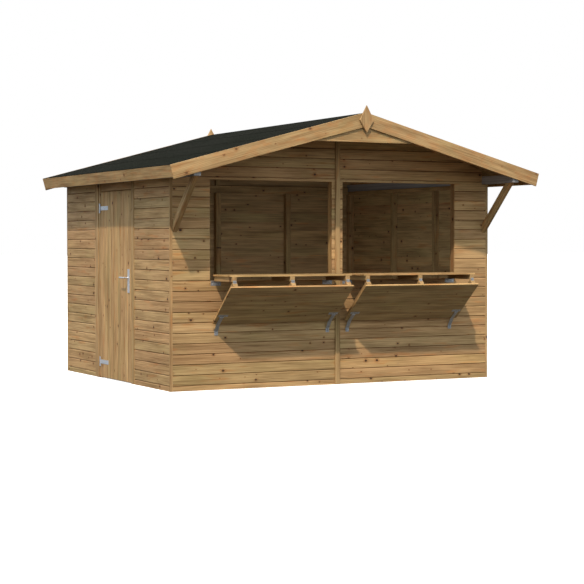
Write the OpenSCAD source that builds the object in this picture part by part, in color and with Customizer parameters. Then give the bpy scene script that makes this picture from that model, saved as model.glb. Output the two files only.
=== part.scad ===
// Wooden market stall: a boarded, ridge-roofed hut with two serving hatches.
// Millimetres. X runs along the front, Y from the front to the back, Z up.
// The hatches are closed by two-leaf shutters that fold down into counters.

/* [Building] */
// Width over the side cladding
body_w = 3800; // [3200:50:4600]
// Depth over the front and back cladding
body_d = 3020; // [2600:20:4000]
// Height of the side walls, where the eave beams sit
wall_h = 2129; // [2125:1:2300]
// Thickness of the cladding boards
clad_t = 16; // [12:1:22]
// Depth of the wall frame behind the cladding
frame_d = 70; // [60:1:95]
// Width of a post, stud or rail
stud_w = 45; // [38:1:60]
// Side of the square corner trims
corner_w = 27; // [22:1:40]
// How far trims stand proud of the cladding at the corners
corner_proud = 2; // [1:1:5]

/* [Roof] */
// Roof pitch in degrees
pitch = 15; // [10:0.5:20]
// Overhang beyond the front cladding
front_over = 600; // [500:10:800]
// Overhang beyond the back cladding
rear_over = 127; // [110:1:400]
// Overhang beyond each side wall
side_over = 253; // [180:1:400]
// Thickness of the roofing felt
felt_t = 3; // [2:0.5:6]
// Thickness of the roof boards
deck_t = 16; // [12:1:22]
// Depth of the rafters, square to the slope
rafter_h = 80; // [60:1:120]
// Width of the eave beams
eave_beam_w = 76; // [60:1:100]
// Height of the eave beams on their inner face
eave_beam_h = 85; // [60:1:160]
// Depth of the ridge beam
ridge_beam_h = 120; // [80:1:180]
// Width of the bargeboards, square to the slope
barge_w = 140; // [110:1:180]
// Thickness of bargeboards, fascias, gussets and finials
trim_t = 19; // [15:1:28]
// Width of the eave fascias
fascia_w = 120; // [100:1:150]
// Height of each gusset's lower edge above the eave beams' underside
gusset_rise = 376; // [320:1:420]
// Width of a finial
finial_w = 168; // [120:1:220]
// Height of a finial
finial_h = 279; // [200:1:340]
// Height of a finial's point above the ridge
finial_rise = 71; // [40:1:100]
// Share of a finial's height that lies above its widest point
finial_shoulder = 0.54; // [0.4:0.01:0.7]

/* [Hatches] */
// Half width of the pier between the two hatches
pier_half = 64; // [50:1:90]
// Width of each hatch opening
hatch_w = 1402; // [1000:1:1460]
// Height of the sill's top edge
sill_z = 1102; // [900:1:1200]
// Height of the hatch openings
hatch_h = 1022; // [900:1:1027]
// Clearance beside and below a closed shutter
shutter_gap = 6; // [5:1:10]
// Clearance over a closed shutter, which swings in under the head
head_gap = 10; // [9:1:16]
// Distance from the sill hinge line to the fold line
counter_reach = 438; // [365:1:450]
// Thickness of the counter and flap boarding
leaf_t = 18; // [15:1:24]
// Side of the square battens under the leaves
batten_w = 50; // [38:1:60]
// How much narrower the counter is than its flap at the outer end
counter_inset = 20; // [10:1:30]
// Radius of the shutter hinge knuckles
knuckle_r = 4.5; // [3.5:0.5:6]
// Width of the cover batten between the hatches
cover_w = 55; // [45:1:80]
// Thickness of the cover batten
cover_t = 19; // [15:1:25]

/* [Door] */
// Distance from the front cladding to the door opening
door_y = 1023; // [700:1:1200]
// Width of the door opening
door_w = 900; // [750:1:1000]
// Height of the door opening
door_h = 2047; // [1900:1:2060]
// Clearance round the door leaf
door_gap = 5; // [5:1:10]
// Clearance under the door leaf
door_foot = 8; // [6:1:20]
// Width of the trim on the lock side
lock_trim_w = 71; // [50:1:90]
// Width of the trim on the hinge side
hinge_trim_w = 171; // [90:1:200]
// How far the door trims stand proud of the cladding
door_proud = 6; // [4:1:12]
// Thickness of the door's ledges
ledge_t = 25; // [20:1:35]
// Width of a ledge
ledge_w = 95; // [70:1:120]
// Height of the lever above the ground
lever_z = 1118; // [950:1:1200]
// Length of the lever
lever_len = 135; // [110:1:150]

/* [Knee braces] */
// Width of a knee brace
brace_w = 50; // [40:1:70]
// Depth of a knee brace, square to its length
brace_d = 70; // [50:1:90]
// How far a brace reaches forward under its eave beam
brace_reach = 535; // [450:1:560]

/* [Hidden] */

$fn = 48;

// Colours
clad_colour = "#b08a5c";
trim_colour = "#b8905f";
frame_colour = "#7d6042";
felt_colour = "#34362f";
beam_colour = "#4a4846";
steel_colour = "#b9bdc2";

// Walls
half_w = body_w / 2;
frame_out = half_w - clad_t;
frame_in = frame_out - frame_d;
clad_end = half_w + corner_proud - corner_w;
corner_in = corner_w - corner_proud;
wall_back = body_d - clad_t;
frame_back = wall_back - frame_d;
hatch_out = pier_half + hatch_w;
head_z = sill_z + hatch_h;
plate_z = wall_h - stud_w;
head_rail_h = 90;
back_rail_z = 2088;
back_stud_x = half_w / 2;
back_stud_w = 64;
side_studs = [0.325 * body_d, 0.63 * body_d];

// Roof
eave_x = half_w + side_over;
roof_build = felt_t + deck_t + rafter_h;
eave_beam_x = half_w - eave_beam_w;
ridge_z = wall_h + eave_beam_h + eave_beam_x * tan(pitch) + roof_build / cos(pitch);
slope_len = eave_x / cos(pitch);
barge_front = -front_over;
barge_rear = body_d + rear_over;
deck_front = barge_front + trim_t;
deck_rear = barge_rear - trim_t;
ridge_beam_w = stud_w;
ridge_beam_z = ridge_z - (felt_t + deck_t) / cos(pitch) - ridge_beam_h;
mitre_gap = 0.5;
roof_seat = 0.05;
deck_under = felt_t + deck_t + roof_seat;
gusset_z = wall_h + gusset_rise;

// Everything is drawn from the front cladding, then moved to the middle of the depth
y_mid = (barge_front - trim_t + barge_rear + trim_t) / 2;

// Shutters
hinge_seat = 0.5;
hinge_y = -knuckle_r - hinge_seat;
hinge_z = sill_z - 4;
fold_y = hinge_y - counter_reach;
leaf_end_gap = knuckle_r + hinge_seat;
sill_end_gap = sill_z + shutter_gap - hinge_z;
flap_len = head_z - head_gap - hinge_z - counter_reach;
flap_wall_gap = 6;
fold_angle = acos((-fold_y - flap_wall_gap) / flap_len);
leaf_in = pier_half + shutter_gap;
leaf_out = hatch_out - shutter_gap;
counter_out = leaf_out - counter_inset;
batten_inset = 14;
batten_x = [leaf_in + batten_w / 2 + 24, (leaf_in + counter_out) / 2,
    counter_out - batten_w / 2 - batten_inset];
hinge_batten_x = [batten_x[0], batten_x[2]];
hinge_plate_w = 114;
hinge_plate_h = 44;
hinge_plate_t = 2.5;
fold_plate_w = 36;
fold_plate_h = 15;
foot_rail_h = 40;
knuckle_gap = 0.8;

// Hasps
hasp_w = 40;
hasp_t = 3;
hasp_plate_w = 108;
hasp_plate_h = 30;
hasp_plate_shift = 10;
hasp_from_edge = 110;
hasp_y = flap_len - hasp_from_edge;
hasp_face = -batten_w - leaf_t;
hasp_pin_z = hasp_face - knuckle_r - hinge_seat;
hasp_past_edge = 4;
hasp_lean = 57;
hasp_wall_off = 5;
hasp_tail = 38;
slot_w = 9;
slot_len = 34;
staple_w = 5;
staple_h = 16;
staple_out = 16;
staple_plate = [32, 2, 52];
eye_r = 2.5;

// Door
door_rear = door_y + door_w;
trim_face = half_w + door_proud;
leaf_face = trim_face;
leaf_back = leaf_face - clad_t;
pin_r = 6;
pin_x = trim_face + pin_r + 0.5;
pin_y = door_rear - door_gap / 2;
door_hinge_z = [180, 1863];
strap_len = 235;
strap_w = 44;
strap_t = 3;
strap_plate_w = 35;
strap_plate_h = 104;
ledge_z = [180, 1000, 1790];
ledge_inset = 32;
lock_y = door_y + door_gap + 57;
lock_w = 45;
lock_h = 250;
lock_t = 8;
lever_r = 9;
lever_off = 60;

// Height of the surface that lies t below the roof's top, at x
function roof_z(x, t) = ridge_z - abs(x) * tan(pitch) - t / cos(pitch);
// Point s down the right-hand slope and t below its top surface
function slope_point(s, t) = [s * cos(pitch) - t * sin(pitch), ridge_z - s * sin(pitch) - t * cos(pitch)];

// A box given by its two corners
module block(low, high) {
    translate(low) cube(high - low);
}

// An outline in X and Z, pushed from y0 to y1
module upright(y0, y1, points) {
    translate([0, y1, 0]) rotate([90, 0, 0]) linear_extrude(y1 - y0) polygon(points);
}

// An outline in Y and Z, pushed from x0 to x1
module sideways(x0, x1, points) {
    translate([x0, 0, 0]) rotate([90, 0, 90]) linear_extrude(x1 - x0) polygon(points);
}

module placed() {
    translate([0, -y_mid, 0]) children();
}

// Left copy and right copy of what is drawn on the right
module both_sides() {
    children();
    mirror([1, 0, 0]) children();
}

module side_of(side) {
    mirror([side < 0 ? 1 : 0, 0, 0]) children();
}

// A band of the right-hand slope between two depths, from x = inner to s = slope_end
module slope_band(inner, slope_end, t0, t1, y0, y1) {
    upright(y0, y1, [[inner, roof_z(inner, t0)], slope_point(slope_end, t0),
        slope_point(slope_end, t1), [inner, roof_z(inner, t1)]]);
}

module front_piers() {
    color(clad_colour) placed() {
        block([-pier_half, 0, 0], [pier_half, clad_t, head_z]);
        both_sides() block([hatch_out, 0, 0], [clad_end, clad_t, head_z]);
    }
}

module front_sill_panels() {
    color(clad_colour) placed() both_sides()
        block([pier_half, 0, 0], [hatch_out, clad_t, sill_z]);
}

// Outline of a gable from a given height, cut round the eave beams and the ridge beam
function gable_outline(z0) = [
    [-clad_end, z0], [clad_end, z0], [clad_end, wall_h], [eave_beam_x, wall_h],
    [eave_beam_x, roof_z(eave_beam_x, deck_under)],
    [ridge_beam_w / 2, roof_z(ridge_beam_w / 2, deck_under)],
    [ridge_beam_w / 2, ridge_beam_z], [-ridge_beam_w / 2, ridge_beam_z],
    [-ridge_beam_w / 2, roof_z(ridge_beam_w / 2, deck_under)],
    [-eave_beam_x, roof_z(eave_beam_x, deck_under)],
    [-eave_beam_x, wall_h], [-clad_end, wall_h],
];

module front_gable() {
    color(clad_colour) placed() upright(0, clad_t, gable_outline(head_z));
}

module back_wall() {
    color(clad_colour) placed() upright(wall_back, body_d, gable_outline(0));
}

module right_wall() {
    color(clad_colour) placed()
        block([frame_out, corner_in, 0], [half_w, body_d - corner_in, wall_h]);
}

module left_wall() {
    color(clad_colour) placed() {
        block([-half_w, corner_in, 0], [-frame_out, door_y - lock_trim_w, wall_h]);
        block([-half_w, door_y, door_h], [-frame_out, door_rear, wall_h]);
        block([-half_w, door_rear + hinge_trim_w, 0], [-frame_out, body_d - corner_in, wall_h]);
    }
}

module front_posts() {
    color(frame_colour) placed() {
        both_sides() {
            block([frame_in, clad_t, 0], [frame_out, clad_t + frame_d, wall_h]);
            block([hatch_out, clad_t, stud_w], [hatch_out + stud_w, clad_t + frame_d, head_z]);
            block([pier_half - stud_w, clad_t, stud_w], [pier_half, clad_t + frame_d, head_z]);
        }
        block([-stud_w / 2, clad_t, head_z + head_rail_h], [stud_w / 2, clad_t + stud_w, ridge_beam_z]);
    }
}

module wall_studs() {
    color(frame_colour) placed() {
        both_sides() {
            block([frame_in, frame_back, 0], [frame_out, wall_back, wall_h]);
            block([back_stud_x - back_stud_w / 2, frame_back, stud_w],
                [back_stud_x + back_stud_w / 2, wall_back, back_rail_z]);
        }
        block([-back_stud_w / 2, frame_back, stud_w], [back_stud_w / 2, wall_back, back_rail_z]);
        block([-stud_w / 2, wall_back - stud_w, back_rail_z + head_rail_h],
            [stud_w / 2, wall_back, ridge_beam_z]);
        for (y = side_studs)
            block([frame_in, y - stud_w / 2, stud_w], [frame_out, y + stud_w / 2, plate_z]);
        for (y = [door_y - stud_w, door_rear])
            block([-frame_out, y, 0], [-frame_in, y + stud_w, plate_z]);
    }
}

module front_rails() {
    color(frame_colour) placed() {
        block([-frame_in, clad_t, 0], [frame_in, clad_t + frame_d, stud_w]);
        both_sides()
            block([pier_half, clad_t, sill_z - stud_w], [hatch_out, clad_t + frame_d, sill_z]);
        block([-frame_in, clad_t, head_z], [frame_in, clad_t + stud_w, head_z + head_rail_h]);
    }
}

module back_rails() {
    color(frame_colour) placed() {
        block([-frame_in, frame_back, 0], [frame_in, wall_back, stud_w]);
        block([-frame_in, wall_back - stud_w, back_rail_z],
            [frame_in, wall_back, back_rail_z + head_rail_h]);
    }
}

module side_rails() {
    rail_front = clad_t + frame_d;
    color(frame_colour) placed() {
        block([frame_in, rail_front, 0], [frame_out, frame_back, stud_w]);
        both_sides() block([frame_in, rail_front, plate_z], [frame_out, frame_back, wall_h]);
        block([-frame_out, rail_front, 0], [-frame_in, door_y - stud_w, stud_w]);
        block([-frame_out, door_rear + stud_w, 0], [-frame_in, frame_back, stud_w]);
    }
}

// L-shaped trims that close the corners of the cladding
module corner_trims() {
    outer = clad_end + corner_w;
    color(trim_colour) placed() both_sides() {
        block([clad_end, -corner_proud, 0], [outer, clad_t, wall_h]);
        block([frame_out, 0, 0], [outer, corner_in, wall_h]);
        block([clad_end, wall_back, 0], [outer, body_d + corner_proud, wall_h]);
        block([frame_out, body_d - corner_in, 0], [outer, body_d, wall_h]);
    }
}

module centre_batten() {
    color(trim_colour) placed()
        block([-cover_w / 2, -cover_t, 0], [cover_w / 2, 0, ridge_beam_z]);
}

module door_trims() {
    color(trim_colour) placed() {
        block([-trim_face, door_y - lock_trim_w, 0], [-frame_out, door_y, wall_h]);
        block([-trim_face, door_rear, 0], [-frame_out, door_rear + hinge_trim_w, wall_h]);
    }
}

module roof_deck() {
    color(frame_colour) placed() both_sides()
        slope_band(mitre_gap, slope_len - trim_t - roof_seat, felt_t + roof_seat, felt_t + deck_t,
            deck_front, deck_rear);
}

module roof_felt() {
    edge = slope_point(slope_len, 0);
    edge_low = slope_point(slope_len, felt_t);
    color(felt_colour) placed()
        upright(deck_front, deck_rear, [[0, ridge_z], edge, edge_low, [0, roof_z(0, felt_t)],
            [-edge_low[0], edge_low[1]], [-edge[0], edge[1]]]);
}

module rafters() {
    bay = body_d / 3;
    ys = [deck_front, clad_t, bay, 2 * bay, wall_back - stud_w, deck_rear - stud_w];
    color(frame_colour) placed() both_sides() for (y = ys)
        slope_band(ridge_beam_w / 2, slope_len - trim_t, deck_under, roof_build, y, y + stud_w);
}

module ridge_beam() {
    half = ridge_beam_w / 2;
    shoulder = roof_z(half, deck_under);
    color(frame_colour) placed()
        upright(deck_front, deck_rear, [[-half, ridge_beam_z], [half, ridge_beam_z], [half, shoulder],
            [0, roof_z(0, deck_under)], [-half, shoulder]]);
}

module eave_beams() {
    color(beam_colour) placed() both_sides()
        upright(deck_front, deck_rear, [[eave_beam_x, wall_h], [half_w, wall_h],
            [half_w, roof_z(half_w, roof_build)], [eave_beam_x, roof_z(eave_beam_x, roof_build)]]);
}

module bargeboards() {
    color(trim_colour) placed() both_sides() for (y = [barge_front, deck_rear])
        slope_band(mitre_gap, slope_len, 0, barge_w, y, y + trim_t);
}

module fascias() {
    color(trim_colour) placed() both_sides()
        upright(deck_front, deck_rear, [slope_point(slope_len - trim_t, felt_t + roof_seat),
            slope_point(slope_len, felt_t + roof_seat), slope_point(slope_len, felt_t + fascia_w),
            slope_point(slope_len - trim_t, felt_t + fascia_w)]);
}

// Triangle under the rafters at each end, notched round the ridge beam
module gable_gussets() {
    half = (roof_z(0, roof_build) - gusset_z) / tan(pitch);
    notch = ridge_beam_w / 2;
    outline = [[-half, gusset_z], [half, gusset_z], [notch, roof_z(notch, roof_build)],
        [notch, ridge_beam_z], [-notch, ridge_beam_z], [-notch, roof_z(notch, roof_build)]];
    color(trim_colour) placed() for (y = [deck_front, deck_rear - trim_t])
        upright(y, y + trim_t, outline);
}

module finials() {
    top = ridge_z + finial_rise;
    shoulder = top - finial_shoulder * finial_h;
    outline = [[0, top], [finial_w / 2, shoulder], [0, top - finial_h], [-finial_w / 2, shoulder]];
    color(trim_colour) placed() for (y = [barge_front - trim_t, barge_rear])
        upright(y, y + trim_t, outline);
}

// Braces at 45 degrees from the front wall to the eave beams
module knee_braces() {
    run = brace_d * sqrt(2);
    foot = wall_h - brace_reach;
    color(trim_colour) placed() both_sides()
        sideways(clad_end - 1 - brace_w, clad_end - 1, [[0, foot], [0, foot + run],
            [run - brace_reach, wall_h], [-brace_reach, wall_h]]);
}

// A length of knuckle along X round the point (0, 0) of Y and Z
module knuckle(x0, x1) {
    translate([x0, 0, 0]) rotate([0, 90, 0]) cylinder(r = knuckle_r, h = x1 - x0);
}

// One leaf of a butt hinge. Its pin lies along X through the origin, its plate stands up
// from there and seats on a face at +Y. The outer leaf has the two end knuckles, the
// inner leaf the middle one.
module hinge_leaf(width, height, outer) {
    half = width / 2;
    third = width / 6;
    seat = knuckle_r + hinge_seat;
    spans = outer ? [[-half, -third], [third, half]] : [[knuckle_gap - third, third - knuckle_gap]];
    block([-half, seat - hinge_plate_t, knuckle_r + knuckle_gap], [half, seat, height]);
    for (span = spans) {
        knuckle(span[0], span[1]);
        block([span[0], seat - hinge_plate_t, 0], [span[1], seat, knuckle_r + knuckle_gap + 1]);
    }
}

// The fixed leaves below the sills
module sill_hinge_plates() {
    color(steel_colour) placed() both_sides() for (x = hinge_batten_x)
        translate([x, hinge_y, hinge_z]) mirror([0, 0, 1])
            hinge_leaf(hinge_plate_w, hinge_plate_h, true);
}

module counter_board(side) {
    color(clad_colour) placed() side_of(side)
        block([leaf_in, fold_y + leaf_end_gap, hinge_z + batten_w],
            [counter_out, hinge_y - sill_end_gap, hinge_z + batten_w + leaf_t]);
}

module counter_battens(side) {
    color(trim_colour) placed() side_of(side) for (x = batten_x)
        block([x - batten_w / 2, fold_y + leaf_end_gap, hinge_z],
            [x + batten_w / 2, hinge_y - sill_end_gap, hinge_z + batten_w]);
}

// The moving leaves at the sill, under the battens, and the fixed leaves at the fold line
module counter_hinges(side) {
    middle = hinge_plate_w / 6 - knuckle_gap;
    color(steel_colour) placed() side_of(side) for (x = hinge_batten_x) {
        translate([x, hinge_y, hinge_z]) {
            knuckle(-middle, middle);
            block([-middle, -sill_end_gap - hinge_plate_h, -hinge_plate_t], [middle, 0, 0]);
        }
    }
    color(steel_colour) placed() side_of(side) for (x = batten_x)
        translate([x, fold_y, hinge_z]) hinge_leaf(fold_plate_w, fold_plate_h, true);
}

// Draws in the flap's own frame: Y down its slope from the fold line, Z square to it
module on_flap(side) {
    placed() side_of(side) translate([0, fold_y, hinge_z]) rotate([-fold_angle, 0, 0]) children();
}

// Where a point of the flap's own frame lies, in Y and Z
function flap_point(y, z) = [fold_y + y * cos(fold_angle) + z * sin(fold_angle),
    hinge_z - y * sin(fold_angle) + z * cos(fold_angle)];

module flap_board(side) {
    color(clad_colour) on_flap(side)
        block([leaf_in, leaf_end_gap, -batten_w - leaf_t], [leaf_out, flap_len, -batten_w]);
}

// Battens along the flap's slope, joined by a rail across its foot
module flap_battens(side) {
    color(trim_colour) on_flap(side) {
        for (x = batten_x)
            block([x - batten_w / 2, leaf_end_gap, -batten_w], [x + batten_w / 2, flap_len, 0]);
        block([batten_x[0], flap_len - foot_rail_h, -batten_w], [batten_x[2], flap_len, 0]);
    }
}

// The flap's hinge leaves at the fold line, and the hasps' plates on its outer face
module flap_plates(side) {
    third = hasp_w / 6;
    plate_end = hasp_y - knuckle_r - 1;
    color(steel_colour) on_flap(side) {
        for (x = batten_x)
            translate([x, 0, 0]) mirror([0, 0, 1]) hinge_leaf(fold_plate_w, fold_plate_h, false);
        for (i = [0, 1]) {
            x = hinge_batten_x[i];
            middle = x + (i == 0 ? hasp_plate_shift : -hasp_plate_shift);
            block([middle - hasp_plate_w / 2, plate_end - hasp_plate_h, hasp_face - hasp_t],
                [middle + hasp_plate_w / 2, plate_end, hasp_face]);
            for (span = [[-hasp_w / 2, -third], [third, hasp_w / 2]]) {
                translate([x, hasp_y, hasp_pin_z]) knuckle(span[0], span[1]);
                block([x + span[0], plate_end - 1, hasp_face - hasp_t], [x + span[1], hasp_y, hasp_face]);
            }
        }
    }
}

// A flat bar of a given width between two points of Y and Z
module flat_bar(p, q, width) {
    d = q - p;
    translate([0, p[0], p[1]]) rotate([atan2(d[1], d[0]), 0, 0])
        block([-width / 2, -hasp_t / 2, -hasp_t / 2], [width / 2, norm(d) + hasp_t / 2, hasp_t / 2]);
}

// Corners of a hasp strap: it passes the flap's edge, turns to the wall, then hangs down it
strap_pin = flap_point(hasp_y, hasp_pin_z);
strap_root = flap_point(hasp_y + knuckle_r + 2, hasp_pin_z);
strap_knee = flap_point(flap_len + hasp_past_edge, hasp_pin_z);
strap_wall = [-hasp_wall_off, strap_knee[1] + (strap_knee[0] + hasp_wall_off) * tan(hasp_lean)];
strap_end = strap_wall - [0, hasp_tail];
staple_z = strap_wall[1] - hasp_tail / 2 + 4;

// Straps that turn on the hasp plates and hang over the staples
module hasp_straps(side) {
    middle = hasp_w / 6 - knuckle_gap;
    slot_z = staple_z - staple_h / 2 - 2;
    color(steel_colour) placed() side_of(side) for (x = hinge_batten_x) translate([x, 0, 0]) {
        translate([0, strap_pin[0], strap_pin[1]]) knuckle(-middle, middle);
        flat_bar(strap_pin, strap_root, 2 * middle);
        flat_bar(strap_root, strap_knee, hasp_w);
        difference() {
            union() {
                flat_bar(strap_knee, strap_wall, hasp_w);
                flat_bar(strap_wall, strap_end, hasp_w);
            }
            block([-slot_w / 2, 2 * strap_wall[0], slot_z], [slot_w / 2, 0, slot_z + slot_len]);
        }
    }
}

// Staples on the wall below the hasps, with an eye for a padlock
module shutter_staples() {
    plate = staple_plate;
    color(steel_colour) placed() both_sides() for (x = hinge_batten_x) translate([x, 0, staple_z]) {
        block([-plate[0] / 2, -plate[1], -plate[2] / 2], [plate[0] / 2, 0, plate[2] / 2]);
        difference() {
            block([-staple_w / 2, -staple_out, -staple_h / 2], [staple_w / 2, -1, staple_h / 2]);
            translate([-staple_w, -staple_out + 5, 0]) rotate([0, 90, 0])
                cylinder(r = eye_r, h = 2 * staple_w);
        }
    }
}

// An upright length of the door hinge's barrel
module barrel(z0, z1) {
    translate([-pin_x, pin_y, z0]) cylinder(r = pin_r, h = z1 - z0);
}

module door_hinge_plates() {
    half = strap_plate_h / 2;
    inner = strap_w / 2 + knuckle_gap;
    clear = pin_y + pin_r + 1;
    color(steel_colour) placed() for (z = door_hinge_z) {
        block([-trim_face - strap_t, clear, z - half], [-trim_face, door_rear + strap_plate_w, z + half]);
        for (span = [[z - half, z - inner], [z + inner, z + half]]) {
            barrel(span[0], span[1]);
            block([-trim_face - strap_t, pin_y, span[0]], [-trim_face, clear + 1, span[1]]);
        }
    }
}

module door_leaf() {
    color(clad_colour) placed()
        block([-leaf_face, door_y + door_gap, door_foot],
            [-leaf_back, door_rear - door_gap, door_h - door_gap - 1]);
}

module door_ledges() {
    color(trim_colour) placed() for (z = ledge_z)
        block([-leaf_back, door_y + ledge_inset, z - ledge_w / 2],
            [-leaf_back + ledge_t, door_rear - ledge_inset, z + ledge_w / 2]);
}

// Long strap of each T hinge, and the lock plate with its keyhole
module door_ironwork() {
    lock_top = lever_z + 90;
    color(steel_colour) placed() {
        for (z = door_hinge_z) {
            barrel(z - strap_w / 2, z + strap_w / 2);
            block([-leaf_face - strap_t, door_rear - strap_len, z - strap_w / 2],
                [-leaf_face, pin_y, z + strap_w / 2]);
        }
        difference() {
            block([-leaf_face - lock_t, lock_y - lock_w / 2, lock_top - lock_h],
                [-leaf_face, lock_y + lock_w / 2, lock_top]);
            translate([-leaf_face - lock_t - 1, lock_y, lever_z - 72]) rotate([0, 90, 0])
                cylinder(r = 5, h = 5);
        }
    }
}

module lever() {
    neck_start = leaf_face + lock_t + 0.5;
    color(steel_colour) placed() {
        translate([-neck_start, lock_y, lever_z]) rotate([0, -90, 0])
            cylinder(r = lever_r, h = lever_off - lock_t);
        translate([-leaf_face - lever_off, lock_y - lever_r, lever_z]) rotate([-90, 0, 0])
            cylinder(r = lever_r, h = lever_len + lever_r);
    }
}

front_piers();
front_sill_panels();
front_gable();
back_wall();
right_wall();
left_wall();
front_posts();
wall_studs();
front_rails();
back_rails();
side_rails();
corner_trims();
centre_batten();
door_trims();
roof_deck();
roof_felt();
rafters();
ridge_beam();
eave_beams();
bargeboards();
fascias();
gable_gussets();
finials();
knee_braces();
sill_hinge_plates();
shutter_staples();
door_hinge_plates();
door_leaf();
door_ledges();
door_ironwork();
lever();
counter_board(-1);  // counter_board_left
counter_battens(-1);  // counter_battens_left
counter_hinges(-1);  // counter_hinges_left
flap_board(-1);  // flap_board_left
flap_battens(-1);  // flap_battens_left
flap_plates(-1);  // flap_plates_left
hasp_straps(-1);  // hasp_straps_left
counter_board(1);  // counter_board_right
counter_battens(1);  // counter_battens_right
counter_hinges(1);  // counter_hinges_right
flap_board(1);  // flap_board_right
flap_battens(1);  // flap_battens_right
flap_plates(1);  // flap_plates_right
hasp_straps(1);  // hasp_straps_right
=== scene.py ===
import math
import random
from functools import cache

import bpy
from bpy.props import BoolProperty, FloatProperty, FloatVectorProperty, PointerProperty
from bpy.types import Operator, Panel, PropertyGroup
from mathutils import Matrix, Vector


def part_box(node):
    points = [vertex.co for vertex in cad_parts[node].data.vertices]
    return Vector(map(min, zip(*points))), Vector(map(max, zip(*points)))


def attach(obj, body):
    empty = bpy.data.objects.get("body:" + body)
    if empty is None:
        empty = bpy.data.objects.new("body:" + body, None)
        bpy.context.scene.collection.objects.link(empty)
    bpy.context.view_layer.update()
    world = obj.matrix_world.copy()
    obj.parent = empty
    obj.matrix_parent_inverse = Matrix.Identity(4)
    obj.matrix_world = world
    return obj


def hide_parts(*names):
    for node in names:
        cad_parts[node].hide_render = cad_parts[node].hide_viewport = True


bl_info = {
    "name": "Market stall",
    "version": (1, 0, 0),
    "blender": (4, 5, 0),
    "location": "3D View > Sidebar > Stall",
    "description": "Builds the boards, felt and ironwork of a timber market stall round its frame",
    "category": "Object",
}

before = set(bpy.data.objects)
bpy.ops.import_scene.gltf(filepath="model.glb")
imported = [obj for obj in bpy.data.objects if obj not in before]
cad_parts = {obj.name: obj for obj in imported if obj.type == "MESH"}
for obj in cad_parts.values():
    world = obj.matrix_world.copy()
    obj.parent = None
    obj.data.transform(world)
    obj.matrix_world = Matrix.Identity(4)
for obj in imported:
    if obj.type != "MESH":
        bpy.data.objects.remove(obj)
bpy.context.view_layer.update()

# Sizes of the stall in metres, measured from the front cladding
FRONT = -1.2735
HALF_W = 1.900
BODY_D = 3.020
WALL_H = 2.129
CLAD = 0.016
CLAD_END = 1.875
CORNER = 0.025
PROUD = 0.002
PIER_HALF = 0.064
HATCH_OUT = 1.466
SILL = 1.102
HEAD = 2.124
EAVE_BEAM_X = 1.824
PITCH = math.radians(15.0)
RIDGE_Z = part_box("roof_felt")[1].z
SIDE_OVER = 0.253
FRONT_OVER = 0.600
REAR_OVER = 0.127
SLOPE_LEN = (HALF_W + SIDE_OVER) / math.cos(PITCH)
BARGE_FRONT = -FRONT_OVER
BARGE_REAR = BODY_D + REAR_OVER
TRIM = 0.019
DECK_FRONT = BARGE_FRONT + TRIM
DECK_REAR = BARGE_REAR - TRIM
DECK_MID = (DECK_FRONT + DECK_REAR) / 2
DECK_HALF = (DECK_REAR - DECK_FRONT) / 2
FELT = 0.003
DECK = 0.016
ROOF_SEAT = 0.00005
RAFTER = 0.080
ROOF_BUILD = FELT + DECK + RAFTER
MITRE = 0.0005
BARGE_W = 0.140
FASCIA_W = 0.120
STUD = 0.045
RIDGE_HALF = STUD / 2
RIDGE_BEAM_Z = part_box("ridge_beam")[0].z
DOOR_Y = 1.023
DOOR_REAR = 1.923
DOOR_H = 2.047
DOOR_GAP = 0.005
DOOR_FOOT = 0.008
LOCK_TRIM = 0.071
HINGE_TRIM = 0.171
HINGE_BOARD = 0.101
JAMB = 0.044
DOOR_PROUD = 0.006
LEAF_FACE = HALF_W + DOOR_PROUD
FIRST_GROOVE = 0.058
HINGE_Z = SILL - 0.004
HINGE_Y = -0.005
COUNTER_REACH = 0.438
SHUTTER_GAP = 0.006
FOLD_Y = HINGE_Y - COUNTER_REACH
LEAF_END = 0.005
LEAF_IN = PIER_HALF + SHUTTER_GAP
LEAF_OUT = HATCH_OUT - SHUTTER_GAP
COUNTER_OUT = LEAF_OUT - 0.020
COUNTER_BACK = HINGE_Y - 0.010
FLAP_LEN = HEAD - 0.010 - HINGE_Z - COUNTER_REACH
FOLD_ANGLE = math.acos((-FOLD_Y - SHUTTER_GAP) / FLAP_LEN)
LEAF_T = 0.018
LEAF_BOARD = 0.105
BATTEN = 0.050
FOOT_RAIL = 0.040
BATTENS_X = (0.119, (LEAF_IN + COUNTER_OUT) / 2, 1.401)
LEVER_Z = 1.118
LOCK_Y = 1.085
HINGE_HEIGHTS = (0.180, 1.863)
PLATE_T = 0.003
LOCK_T = 0.008

# Directions and places of the light and the camera
SUN_WAY = Vector((0.472, 0.65, -1.0))
CAMERA_PLACE = (-8.146, -15.831, 1.486)
CAMERA_TILT = math.radians(90 - 1.7754)
CAMERA_TURN = math.radians(-27.6044)
LENS = 98.0

X = Vector((1, 0, 0))
Y = Vector((0, 1, 0))
Z = Vector((0, 0, 1))


def at(x, y, z):
    """A point given from the front cladding, in the frame's own coordinates."""
    return Vector((x, y + FRONT, z))


def down_slope(side):
    """Direction down a roof slope, and the direction square to it, upwards."""
    down = Vector((side * math.cos(PITCH), 0, -math.sin(PITCH)))
    up = Vector((side * math.sin(PITCH), 0, math.cos(PITCH)))
    return down, up


def roof_z(x, t):
    """Height of the surface that lies t under the roof's top, at x."""
    return RIDGE_Z - abs(x) * math.tan(PITCH) - t / math.cos(PITCH)


def slope_reach(z, t):
    """How far from the middle the roof's surface t is at height z."""
    return (RIDGE_Z - t / math.cos(PITCH) - z) / math.tan(PITCH)


# ---------------------------------------------------------------- settings


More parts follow.
